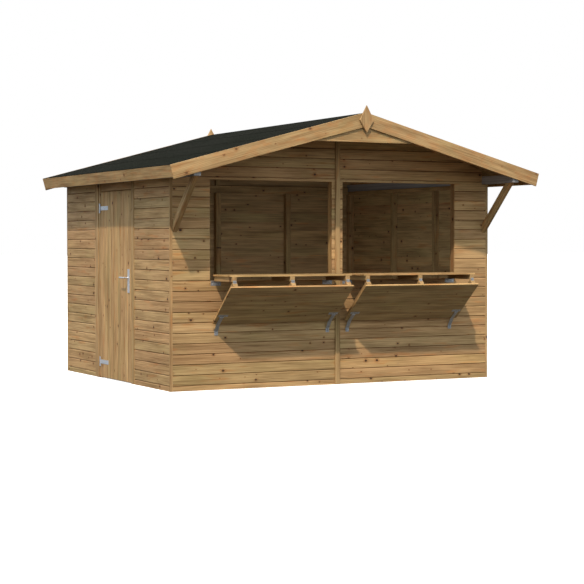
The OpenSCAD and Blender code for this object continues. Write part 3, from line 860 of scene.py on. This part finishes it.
def build_rafters():
    boards = Timbers(43)
    depths = sorted({(round(low.y, 4), round(high.y, 4)) for low, high in loose_boxes("rafters")})
    for side in (-1, 1):
        down, up = down_slope(side)
        for y0, y1 in depths:
            origin = at(0, 0, RIDGE_Z)
            origin.y = (y0 + y1) / 2
            start = (RIDGE_HALF / math.cos(PITCH)) + GABLE_T * math.tan(PITCH)
            low = Vector((start, -(y1 - y0) / 2, -(GABLE_T - ROOF_SEAT + RAFTER)))
            high = Vector((SLOPE_LEN - TRIM, (y1 - y0) / 2, -GABLE_T))
            boards.stick(low, high, 0.002, axes=(down, Y, up), origin=origin)
    boards.finish("rafter_timbers", frame_timber(), "frame_wood", "hut", "rafters")
    beam = Timbers(44)
    low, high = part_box("ridge_beam")
    beam.stick(low, Vector((high.x, high.y, roof_z(RIDGE_HALF, GABLE_T))), 0.003, origin=Vector())
    beam.finish("ridge_timber", frame_timber(), "frame_wood", "hut", "ridge_beam")


def build_eave_beams():
    boards = Timbers(45)
    middle = at(0, DECK_MID, 0).y
    for side in (-1, 1):
        low, high = sorted((side * EAVE_BEAM_X, side * HALF_W))
        outline = [(low, WALL_H), (high, WALL_H),
                   (high, roof_z(high, ROOF_BUILD)), (low, roof_z(low, ROOF_BUILD))]
        boards.section(outline, middle - DECK_HALF, middle + DECK_HALF, 0.004)
    boards.finish("eave_beam_timbers", stained_beam(), "beam_grey", "hut", "eave_beams")


def build_bargeboards():
    boards = Timbers(46)
    tones = {-1: (0.72, 0.5), 1: (0.80, 0.6)}
    for number, y in enumerate((BARGE_FRONT, DECK_REAR)):
        for side in (-1, 1):
            down, up = down_slope(side)
            # along runs from left to right, so that the face looks forward
            along = down if side > 0 else -down
            start = MITRE / math.cos(PITCH)
            points = [(start, 0.0), (start + BARGE_W * math.tan(PITCH), -BARGE_W),
                      (SLOPE_LEN, -BARGE_W), (SLOPE_LEN, 0.0)]
            points = [(side * s, t) for s, t in points]
            if side < 0:
                points = points[::-1]
            boards.slab(points, at(0, y, RIDGE_Z), along, up, TRIM, 0.0022, tone=tones[side][number])
    boards.finish("barge_boards", barge_wood(), "trim_wood", "hut", "bargeboards")


def build_fascias():
    boards = Timbers(47)
    foot, top = -(FELT + FASCIA_W), -(FELT + ROOF_SEAT)
    outline = [(-DECK_HALF, foot), (DECK_HALF, foot), (DECK_HALF, top), (-DECK_HALF, top)]
    for side in (-1, 1):
        down, up = down_slope(side)
        origin = at(0, DECK_MID, RIDGE_Z) + down * SLOPE_LEN
        along = Y if side > 0 else -Y
        boards.slab(outline, origin, along, up, TRIM, 0.0022, tone=0.55)
    boards.finish("fascia_boards", barge_wood(), "trim_wood", "hut", "fascias")


def build_gussets():
    boards = Timbers(48)
    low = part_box("gable_gussets")[0].z
    half = (roof_z(0, ROOF_BUILD) - low) / math.tan(PITCH)
    shoulder = roof_z(RIDGE_HALF, ROOF_BUILD)
    outline = [(-half, low), (half, low), (RIDGE_HALF, shoulder), (RIDGE_HALF, RIDGE_BEAM_Z),
               (-RIDGE_HALF, RIDGE_BEAM_Z), (-RIDGE_HALF, shoulder)]
    for y in (DECK_FRONT, DECK_REAR - TRIM):
        boards.slab(outline, at(0, y, 0), X, Z, TRIM, 0.0015, tone=0.7)
    boards.finish("gusset_boards", barge_wood(), "trim_wood", "hut", "gable_gussets")


def build_finials():
    boards = Timbers(49)
    low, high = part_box("finials")
    wide = (high.x - low.x) / 2
    shoulder = high.z - 0.54 * (high.z - low.z)
    # the grain stands upright, so along is Z
    outline = [(low.z, 0.0), (shoulder, -wide), (high.z, 0.0), (shoulder, wide)]
    for y in (BARGE_FRONT - TRIM, BARGE_REAR):
        boards.slab(outline, at(0, y, 0), Z, -X, TRIM, 0.004, tone=0.85)
    boards.finish("finial_boards", barge_wood(), "trim_wood", "hut", "finials")


def build_braces():
    boards = Timbers(50)
    width, thickness, gap = 0.070, 0.050, 0.001
    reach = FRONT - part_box("knee_braces")[0].y
    run = width * math.sqrt(2)
    foot = WALL_H - reach
    diagonal, square = (Z - Y).normalized(), (Y + Z).normalized()
    corners = [Vector((0, 0, foot)), Vector((0, 0, foot + run)), Vector((0, run - reach, WALL_H)),
               Vector((0, -reach, WALL_H))]
    outline = [(c.dot(diagonal), c.dot(square)) for c in corners]
    area = sum(a[0] * b[1] - b[0] * a[1] for a, b in zip(outline, outline[1:] + outline[:1]))
    if area < 0:
        outline.reverse()
    # The outline lies on the side that the diagonal and its square look to
    looks = diagonal.cross(square).x
    for side in (-1, 1):
        faces = (side * (CLAD_END - gap), side * (CLAD_END - gap - thickness))
        boards.slab(outline, at(max(faces) if looks > 0 else min(faces), 0, 0), diagonal, square,
                    thickness, 0.003, tone=0.6)
    boards.finish("brace_timbers", barge_wood(), "trim_wood", "hut", "knee_braces")


# ---------------------------------------------------------------- door


def build_door_leaf():
    """Upright boards with a fine joint between them."""
    boards = Timbers(61)
    y0, y1 = DOOR_Y + DOOR_GAP, DOOR_REAR - DOOR_GAP
    z0, z1 = DOOR_FOOT, DOOR_H - DOOR_GAP - 0.001
    joint = 0.0055
    tones = (0.45, 0.86, 0.30, 0.62, 0.92, 0.40, 0.66, 0.88, 0.35)
    width = (y1 - y0) / len(tones)
    height = (z1 - z0) / 2
    a, b = -width / 2, width / 2
    outline = [(-height, a), (height, a), (height, b), (-height, b)]
    for i, tone in enumerate(tones):
        origin = at(-LEAF_FACE, y0 + (i + 0.5) * width, (z0 + z1) / 2)
        boards.slab(outline, origin, Z, Y, CLAD, joint, tone=tone)
    door_pine = wood("door_pine", 1.0, (1.02, 1.0, 0.98), 0.24, grooved=True)
    boards.finish("door_boards", door_pine, "cladding", "door", "door_leaf")


def build_door_ledges():
    boards = Timbers(62)
    for low, high in loose_boxes("door_ledges"):
        boards.stick(low, high, 0.004, origin=Vector())
    boards.finish("door_ledge_boards", trim_wood(), "trim_wood", "door", "door_ledges")


def tube_ring(centre, normal, side, radius_a, radius_b, count):
    up = normal.cross(side)
    return [centre + side * (radius_a * math.cos(2 * math.pi * i / count))
            + up * (radius_b * math.sin(2 * math.pi * i / count)) for i in range(count)]


def join_rings(faces, first, rings, count):
    """Faces between rings of count points, the first of which starts at the point numbered first."""
    for ring in range(rings - 1):
        a = first + ring * count
        for i in range(count):
            j = (i + 1) % count
            faces.append([a + i, a + j, a + count + j, a + count + i])


def build_lever():
    """A cast lever: a round rose, a neck, and a grip that flattens towards its rounded tip."""
    count = 20
    points, faces = [], []

    def loft(rings):
        first = len(points)
        for ring in rings:
            points.extend(ring)
        join_rings(faces, first, len(rings), count)
        faces.append([first + i for i in reversed(range(count))])
        last = first + (len(rings) - 1) * count
        faces.append([last + i for i in range(count)])

    low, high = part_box("lever")
    start_x = high.x
    grip_x = low.x + 0.009
    centre = at(0, LOCK_Y, LEVER_Z)
    neck = [(start_x, 0.0088), (start_x - 0.004, 0.0088), (start_x - 0.006, 0.0066),
            (grip_x + 0.008, 0.0064), (grip_x, 0.0070)]
    loft([tube_ring(Vector((x, centre.y, centre.z)), -X, Y, r, r, count) for x, r in neck])
    root = centre.y - 0.0085
    length = high.y - root
    rings = []
    for share, wide, thick in ((0.0, 0.0040, 0.0040), (0.012, 0.0070, 0.0068), (0.05, 0.0088, 0.0082),
                               (0.20, 0.0086, 0.0068), (0.5, 0.0084, 0.0056), (0.80, 0.0088, 0.0052),
                               (0.94, 0.0080, 0.0048), (0.985, 0.0052, 0.0036), (1.0, 0.0020, 0.0016)):
        middle = Vector((grip_x, root + length * share, centre.z))
        rings.append(tube_ring(middle, Y, Z, wide, thick, count))
    loft(rings)
    surface_piece("lever_handle", points, faces, zinc(), "galvanised_steel", "lever", "lever", smooth=True)


# ---------------------------------------------------------------- shutters


def leaf_boards(boards, x0, x1, start, end, face, under, axes, origin, tones):
    """Boards of a leaf, which run across it. Face and under are its two surfaces along the third
    axis. Each board's tone is drawn from between two tones."""
    count = max(2, round((end - start) / LEAF_BOARD))
    width = (end - start) / count
    for i in range(count):
        low = Vector((x0, start + i * width, under))
        high = Vector((x1, start + (i + 1) * width, face))
        boards.stick(low, high, 0.0016, axes=axes, origin=origin, tone=boards.random.uniform(*tones))


def build_counters():
    for side, word in ((-1, "left"), (1, "right")):
        xs = sorted((side * LEAF_IN, side * COUNTER_OUT))
        top = Timbers(70 + side)
        leaf_boards(top, *xs, FOLD_Y + LEAF_END, COUNTER_BACK, HINGE_Z + BATTEN + LEAF_T, HINGE_Z + BATTEN,
                    (X, Y, Z), at(0, 0, 0), (0.3, 0.9))
        top.finish(f"counter_{word}_boards", leaf_wood(), "cladding", f"counter_{word}",
                   f"counter_board_{word}")
        under = Timbers(75 + side)
        for low, high in loose_boxes(f"counter_battens_{word}"):
            under.stick(low, high, 0.002, origin=Vector(), tone=under.random.uniform(0.5, 0.9))
        under.finish(f"counter_{word}_battens", trim_wood(), "trim_wood", f"counter_{word}",
                     f"counter_battens_{word}")


def build_flaps():
    """The folded flaps. Their own frame runs down the slope from the fold line."""
    cos, sin = math.cos(FOLD_ANGLE), math.sin(FOLD_ANGLE)
    axes = (X, Vector((0, cos, -sin)), Vector((0, sin, cos)))
    origin = at(0, FOLD_Y, HINGE_Z)
    for side, word in ((-1, "left"), (1, "right")):
        xs = sorted((side * LEAF_IN, side * LEAF_OUT))
        face = Timbers(80 + side)
        leaf_boards(face, *xs, LEAF_END, FLAP_LEN, -BATTEN, -BATTEN - LEAF_T, axes, origin, (0.3, 0.85))
        face.finish(f"flap_{word}_boards", leaf_wood(), "cladding", f"flap_{word}", f"flap_board_{word}")
        inner = Timbers(85 + side)
        for x in BATTENS_X:
            low = Vector((side * x - BATTEN / 2, LEAF_END, -BATTEN))
            high = Vector((side * x + BATTEN / 2, FLAP_LEN - FOOT_RAIL, 0.0))
            inner.stick(low, high, 0.002, axes=axes, origin=origin, tone=inner.random.uniform(0.5, 0.9))
        ends = sorted((side * (BATTENS_X[0] - BATTEN / 2), side * (BATTENS_X[2] + BATTEN / 2)))
        inner.stick(Vector((ends[0], FLAP_LEN - FOOT_RAIL, -BATTEN)), Vector((ends[1], FLAP_LEN, 0.0)), 0.002,
                    axes=axes, origin=origin, tone=inner.random.uniform(0.5, 0.9))
        inner.finish(f"flap_{word}_battens", trim_wood(), "trim_wood", f"flap_{word}", f"flap_battens_{word}")


# ---------------------------------------------------------------- ironwork


DOOR_STEEL = ("door_hinge_plates", "door_ironwork")
SHUTTER_STEEL = ("sill_hinge_plates", "shutter_staples", "counter_hinges_left", "counter_hinges_right",
                 "flap_plates_left", "flap_plates_right", "hasp_straps_left", "hasp_straps_right")


def build_ironwork():
    """Zinc on the plates, straps and staples, which keep their CAD shapes."""
    # The door's ironwork takes the plain zinc, and the shutters' ironwork takes the copy darkened with
    # painted shade
    for nodes, finish in ((DOOR_STEEL, zinc), (SHUTTER_STEEL, shaded_zinc)):
        for name in nodes:
            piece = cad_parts[name]
            piece.data.materials.clear()
            piece.data.materials.append(finish())


def screw_heads(name, body, places, radius=0.0042, finish=zinc):
    """Countersunk heads with a cross slot. Each place is (centre, outward direction)."""
    points, faces = [], []
    count = 16
    for centre, out in places:
        side = (X if abs(out.x) < 0.9 else Y)
        side = (side - out * side.dot(out)).normalized()
        first = len(points)
        for share, lift in ((1.0, -0.0002), (0.96, 0.0004), (0.70, 0.0008), (0.34, 0.0009)):
            points.extend(tube_ring(centre + out * lift, out, side, radius * share, radius * share, count))
        # The last ring makes a recess with four arms, where every fourth spoke reaches further out
        sunk = len(points)
        up = out.cross(side)
        for i in range(count):
            turn = 2 * math.pi * i / count
            reach = radius * (0.30 if i % 4 == 0 else 0.12)
            spoke = side * (reach * math.cos(turn)) + up * (reach * math.sin(turn))
            points.append(centre - out * 0.0001 + spoke)
        join_rings(faces, first, 5, count)
        faces.append([sunk + i for i in range(count)])
    surface_piece(name, points, faces, finish(), "galvanised_steel", body)


def build_screws():
    if not bpy.context.scene.stall_iron.screws:
        return
    hut, door = [], []
    plate_face = -LEAF_FACE - PLATE_T
    for z in HINGE_HEIGHTS:
        for dz in (-0.040, -0.014, 0.014, 0.040):
            hut.append((at(plate_face, DOOR_REAR + 0.024, z + dz), -X))
        for dy in (0.045, 0.105, 0.165, 0.215):
            door.append((at(plate_face, DOOR_REAR - dy, z), -X))
    for dz in (0.078, -0.148):
        door.append((at(-LEAF_FACE - LOCK_T, LOCK_Y, LEVER_Z + dz), -X))
    hinge_x = (BATTENS_X[0], BATTENS_X[2])
    for side in (-1, 1):
        for x in hinge_x:
            for dx in (-0.040, 0.0, 0.040):
                hut.append((at(side * x + dx, -0.0025, HINGE_Z - 0.028), -Y))
    screw_heads("hut_screws", "hut", hut)
    screw_heads("door_screws", "door", door)
    cos, sin = math.cos(FOLD_ANGLE), math.sin(FOLD_ANGLE)
    down, out = Vector((0, cos, -sin)), Vector((0, -sin, -cos))
    hasp_y = FLAP_LEN - 0.110
    for side, word in ((-1, "left"), (1, "right")):
        places = []
        for x, shift in zip(hinge_x, (0.010, -0.010)):
            for dx in (-0.042, -0.015, 0.015, 0.042):
                point = at(side * (x + shift) + dx, FOLD_Y, HINGE_Z)
                point = point + down * (hasp_y - 0.0055 - 0.015) + out * (BATTEN + LEAF_T + PLATE_T)
                places.append((point, out))
        screw_heads(f"flap_{word}_screws", f"flap_{word}", places)


def build_nails():
    """Round nail heads where the cladding is fixed to the posts and studs."""
    cover = bpy.context.scene.stall_timber.board_cover
    places = []
    rows = []
    corner_x, edge_y, jamb_x = 1.862, 0.040, 1.488
    z = FIRST_GROOVE + 0.030
    while z < WALL_H - 0.02:
        rows.append(z)
        z += cover
    generator = random.Random(91)

    def nail(x, y, z, out):
        wander = generator.uniform(-0.003, 0.003)
        along = X if abs(out.y) > 0.5 else Y
        places.append((at(x, y, z + generator.uniform(-0.003, 0.003)) + along * wander, out))

    for z in rows:
        for side in (-1, 1):
            nail(side * corner_x, 0.0, z, -Y)
            if z < SILL:
                nail(side * 0.75, 0.0, z, -Y)
            nail(side * jamb_x, 0.0, z, -Y)
            nail(side * corner_x, BODY_D, z, Y)
            nail(side * 0.95, BODY_D, z, Y)
        nail(0.0, BODY_D, z, Y)
        for y in (edge_y, 0.9815, 1.9026, BODY_D - edge_y):
            nail(HALF_W, y, z, X)
        for y in (edge_y, 0.93, 2.115, BODY_D - edge_y):
            nail(-HALF_W, y, z, -X)
    screw_heads("cladding_nails", "hut", places, 0.0026, lambda: zinc("dull_nails", 0.35))


# ---------------------------------------------------------------- stage


def build_stage():
    scene = bpy.context.scene
    settings = scene.stall_stage
    mesh = bpy.data.meshes.new("floor")
    reach = 160.0
    mesh.from_pydata([(-reach, -reach, 0), (reach, -reach, 0), (reach, reach, 0), (-reach, reach, 0)], [],
                     [(0, 1, 2, 3)])
    material, tree, shader = new_material("pale_floor")
    place = add(tree, "ShaderNodeTexCoord").outputs["Object"]
    cloud = noise(tree, scaled(tree, place, (0.6, 0.6, 0.6)), 2.0)
    tint = tuple(settings.floor)
    colour = mix_colour(tree, cloud, (*tint, 1), (*(c * 0.985 for c in tint), 1))
    link(tree, colour, shader, "Base Color")
    link(tree, colour, shader, "Emission Color")
    shader.inputs["Emission Strength"].default_value = 0.55
    shader.inputs["Roughness"].default_value = 0.9
    mesh.materials.append(material)
    floor = bpy.data.objects.new("floor", mesh)
    floor.location.z = -0.0005
    floor.visible_diffuse = False
    floor.visible_glossy = False
    scene.collection.objects.link(floor)

    sun = bpy.data.lights.new("key_light", "SUN")
    sun.energy = settings.sun
    sun.angle = settings.sun_softness
    sun.color = settings.sun_colour
    lamp = bpy.data.objects.new("key_light", sun)
    lamp.rotation_mode = "QUATERNION"
    lamp.rotation_quaternion = SUN_WAY.to_track_quat("-Z", "Y")
    scene.collection.objects.link(lamp)

    fill = bpy.data.lights.new("room_light", "AREA")
    fill.shape = "RECTANGLE"
    fill.size, fill.size_y = 2.6, 0.8
    fill.energy = settings.room
    fill.color = (0.68, 0.84, 1.0)
    lamp = bpy.data.objects.new("room_light", fill)
    lamp.location = at(0, 0.30, 1.62)
    lamp.rotation_euler = (math.radians(90), 0.0, 0.0)
    scene.collection.objects.link(lamp)

    # A cool sky over dark ground lights the stall, and the camera sees plain white
    world = bpy.data.worlds.new("soft_sky")
    world.use_nodes = True
    tree = world.node_tree
    tree.nodes.clear()
    way = add(tree, "ShaderNodeTexCoord").outputs["Generated"]
    height = add(tree, "ShaderNodeSeparateXYZ", {0: way}).outputs[2]
    dome = mix_colour(tree, map_range(tree, height, -0.06, 0.10), (*settings.ground, 1), (*settings.sky, 1))
    soft = add(tree, "ShaderNodeBackground", {"Color": dome, "Strength": 1.0})
    plain = add(tree, "ShaderNodeBackground", {"Color": (1.0, 1.0, 1.0, 1), "Strength": 1.0})
    seen = add(tree, "ShaderNodeLightPath").outputs["Is Camera Ray"]
    both = add(tree, "ShaderNodeMixShader", {0: seen, 1: soft.outputs[0], 2: plain.outputs[0]})
    out = add(tree, "ShaderNodeOutputWorld")
    tree.links.new(both.outputs[0], out.inputs[0])
    scene.world = world
    scene.view_settings.view_transform = "Standard"

    camera = bpy.data.cameras.new("camera")
    camera.lens = LENS
    camera.sensor_width = 36.0
    camera.clip_start, camera.clip_end = 0.5, 400.0
    eye = bpy.data.objects.new("camera", camera)
    eye.location = CAMERA_PLACE
    eye.rotation_euler = (CAMERA_TILT, 0.0, CAMERA_TURN)
    scene.collection.objects.link(eye)
    scene.camera = eye


# ---------------------------------------------------------------- operators


class STALL_OT_front_cladding(Operator):
    """Boards the front wall and its gable round the two hatches"""
    bl_idname = "stall.front_cladding"
    bl_label = "Front cladding"

    def execute(self, context):
        build_front_cladding()
        return {"FINISHED"}


class STALL_OT_side_cladding(Operator):
    """Boards the back wall and both side walls"""
    bl_idname = "stall.side_cladding"
    bl_label = "Side and back cladding"

    def execute(self, context):
        build_back_cladding()
        build_right_cladding()
        build_left_cladding()
        return {"FINISHED"}


class STALL_OT_wall_frame(Operator):
    """Makes the posts, studs and rails inside the walls"""
    bl_idname = "stall.wall_frame"
    bl_label = "Wall frame"

    def execute(self, context):
        build_wall_frame()
        return {"FINISHED"}


class STALL_OT_wall_trims(Operator):
    """Makes the corner trims, the cover between the hatches and the door trims"""
    bl_idname = "stall.wall_trims"
    bl_label = "Wall trims"

    def execute(self, context):
        build_corner_trims()
        build_centre_cover()
        build_door_trims()
        return {"FINISHED"}


class STALL_OT_roof_timbers(Operator):
    """Makes the roof boards, rafters, ridge beam and eave beams"""
    bl_idname = "stall.roof_timbers"
    bl_label = "Roof timbers"

    def execute(self, context):
        build_roof_boards()
        build_rafters()
        build_eave_beams()
        return {"FINISHED"}


class STALL_OT_felt(Operator):
    """Lays the felt in courses along the eaves"""
    bl_idname = "stall.felt"
    bl_label = "Roofing felt"

    def execute(self, context):
        build_felt()
        return {"FINISHED"}


class STALL_OT_roof_trims(Operator):
    """Makes the bargeboards, fascias, gussets and finials"""
    bl_idname = "stall.roof_trims"
    bl_label = "Roof trims"

    def execute(self, context):
        build_bargeboards()
        build_fascias()
        build_gussets()
        build_finials()
        return {"FINISHED"}


class STALL_OT_braces(Operator):
    """Makes the two knee braces under the eave beams"""
    bl_idname = "stall.braces"
    bl_label = "Knee braces"

    def execute(self, context):
        build_braces()
        return {"FINISHED"}


class STALL_OT_door(Operator):
    """Makes the door's boards, its ledges and its lever"""
    bl_idname = "stall.door"
    bl_label = "Door"

    def execute(self, context):
        build_door_leaf()
        build_door_ledges()
        build_lever()
        return {"FINISHED"}


class STALL_OT_shutters(Operator):
    """Makes the two counters and their folded flaps"""
    bl_idname = "stall.shutters"
    bl_label = "Counters and flaps"

    def execute(self, context):
        build_counters()
        build_flaps()
        return {"FINISHED"}


class STALL_OT_ironwork(Operator):
    """Plates the hinges, hasps and staples, and adds their screws and the wall's nails"""
    bl_idname = "stall.ironwork"
    bl_label = "Ironwork"

    def execute(self, context):
        build_ironwork()
        build_screws()
        build_nails()
        return {"FINISHED"}


class STALL_OT_stage(Operator):
    """Sets the floor, the light and the camera"""
    bl_idname = "stall.stage"
    bl_label = "Stage"

    def execute(self, context):
        build_stage()
        return {"FINISHED"}


STEPS = (STALL_OT_front_cladding, STALL_OT_side_cladding, STALL_OT_wall_frame, STALL_OT_wall_trims,
         STALL_OT_roof_timbers, STALL_OT_felt, STALL_OT_roof_trims, STALL_OT_braces, STALL_OT_door,
         STALL_OT_shutters, STALL_OT_ironwork, STALL_OT_stage)
SETTINGS = (("stall_timber", StallTimber), ("stall_roof", StallRoof), ("stall_iron", StallIron),
            ("stall_stage", StallStage))


class STALL_PT_panel(Panel):
    """Lists the stall's settings and its building steps"""
    bl_idname = "STALL_PT_panel"
    bl_label = "Market stall"
    bl_space_type = "VIEW_3D"
    bl_region_type = "UI"
    bl_category = "Stall"

    def draw(self, context):
        for name, group in SETTINGS:
            box = self.layout.box()
            box.label(text=name.replace("stall_", "").capitalize())
            for key in group.__annotations__:
                box.prop(getattr(context.scene, name), key)
        for step in STEPS:
            self.layout.operator(step.bl_idname)


def register():
    for name, group in SETTINGS:
        bpy.utils.register_class(group)
        setattr(bpy.types.Scene, name, PointerProperty(type=group))
    for step in STEPS:
        bpy.utils.register_class(step)
    bpy.utils.register_class(STALL_PT_panel)


def unregister():
    bpy.utils.unregister_class(STALL_PT_panel)
    for step in reversed(STEPS):
        bpy.utils.unregister_class(step)
    for name, group in reversed(SETTINGS):
        delattr(bpy.types.Scene, name)
        bpy.utils.unregister_class(group)


def main():
    register()
    for step in STEPS:
        family, name = step.bl_idname.split(".")
        getattr(getattr(bpy.ops, family), name)()


if __name__ == "__main__":
    main()
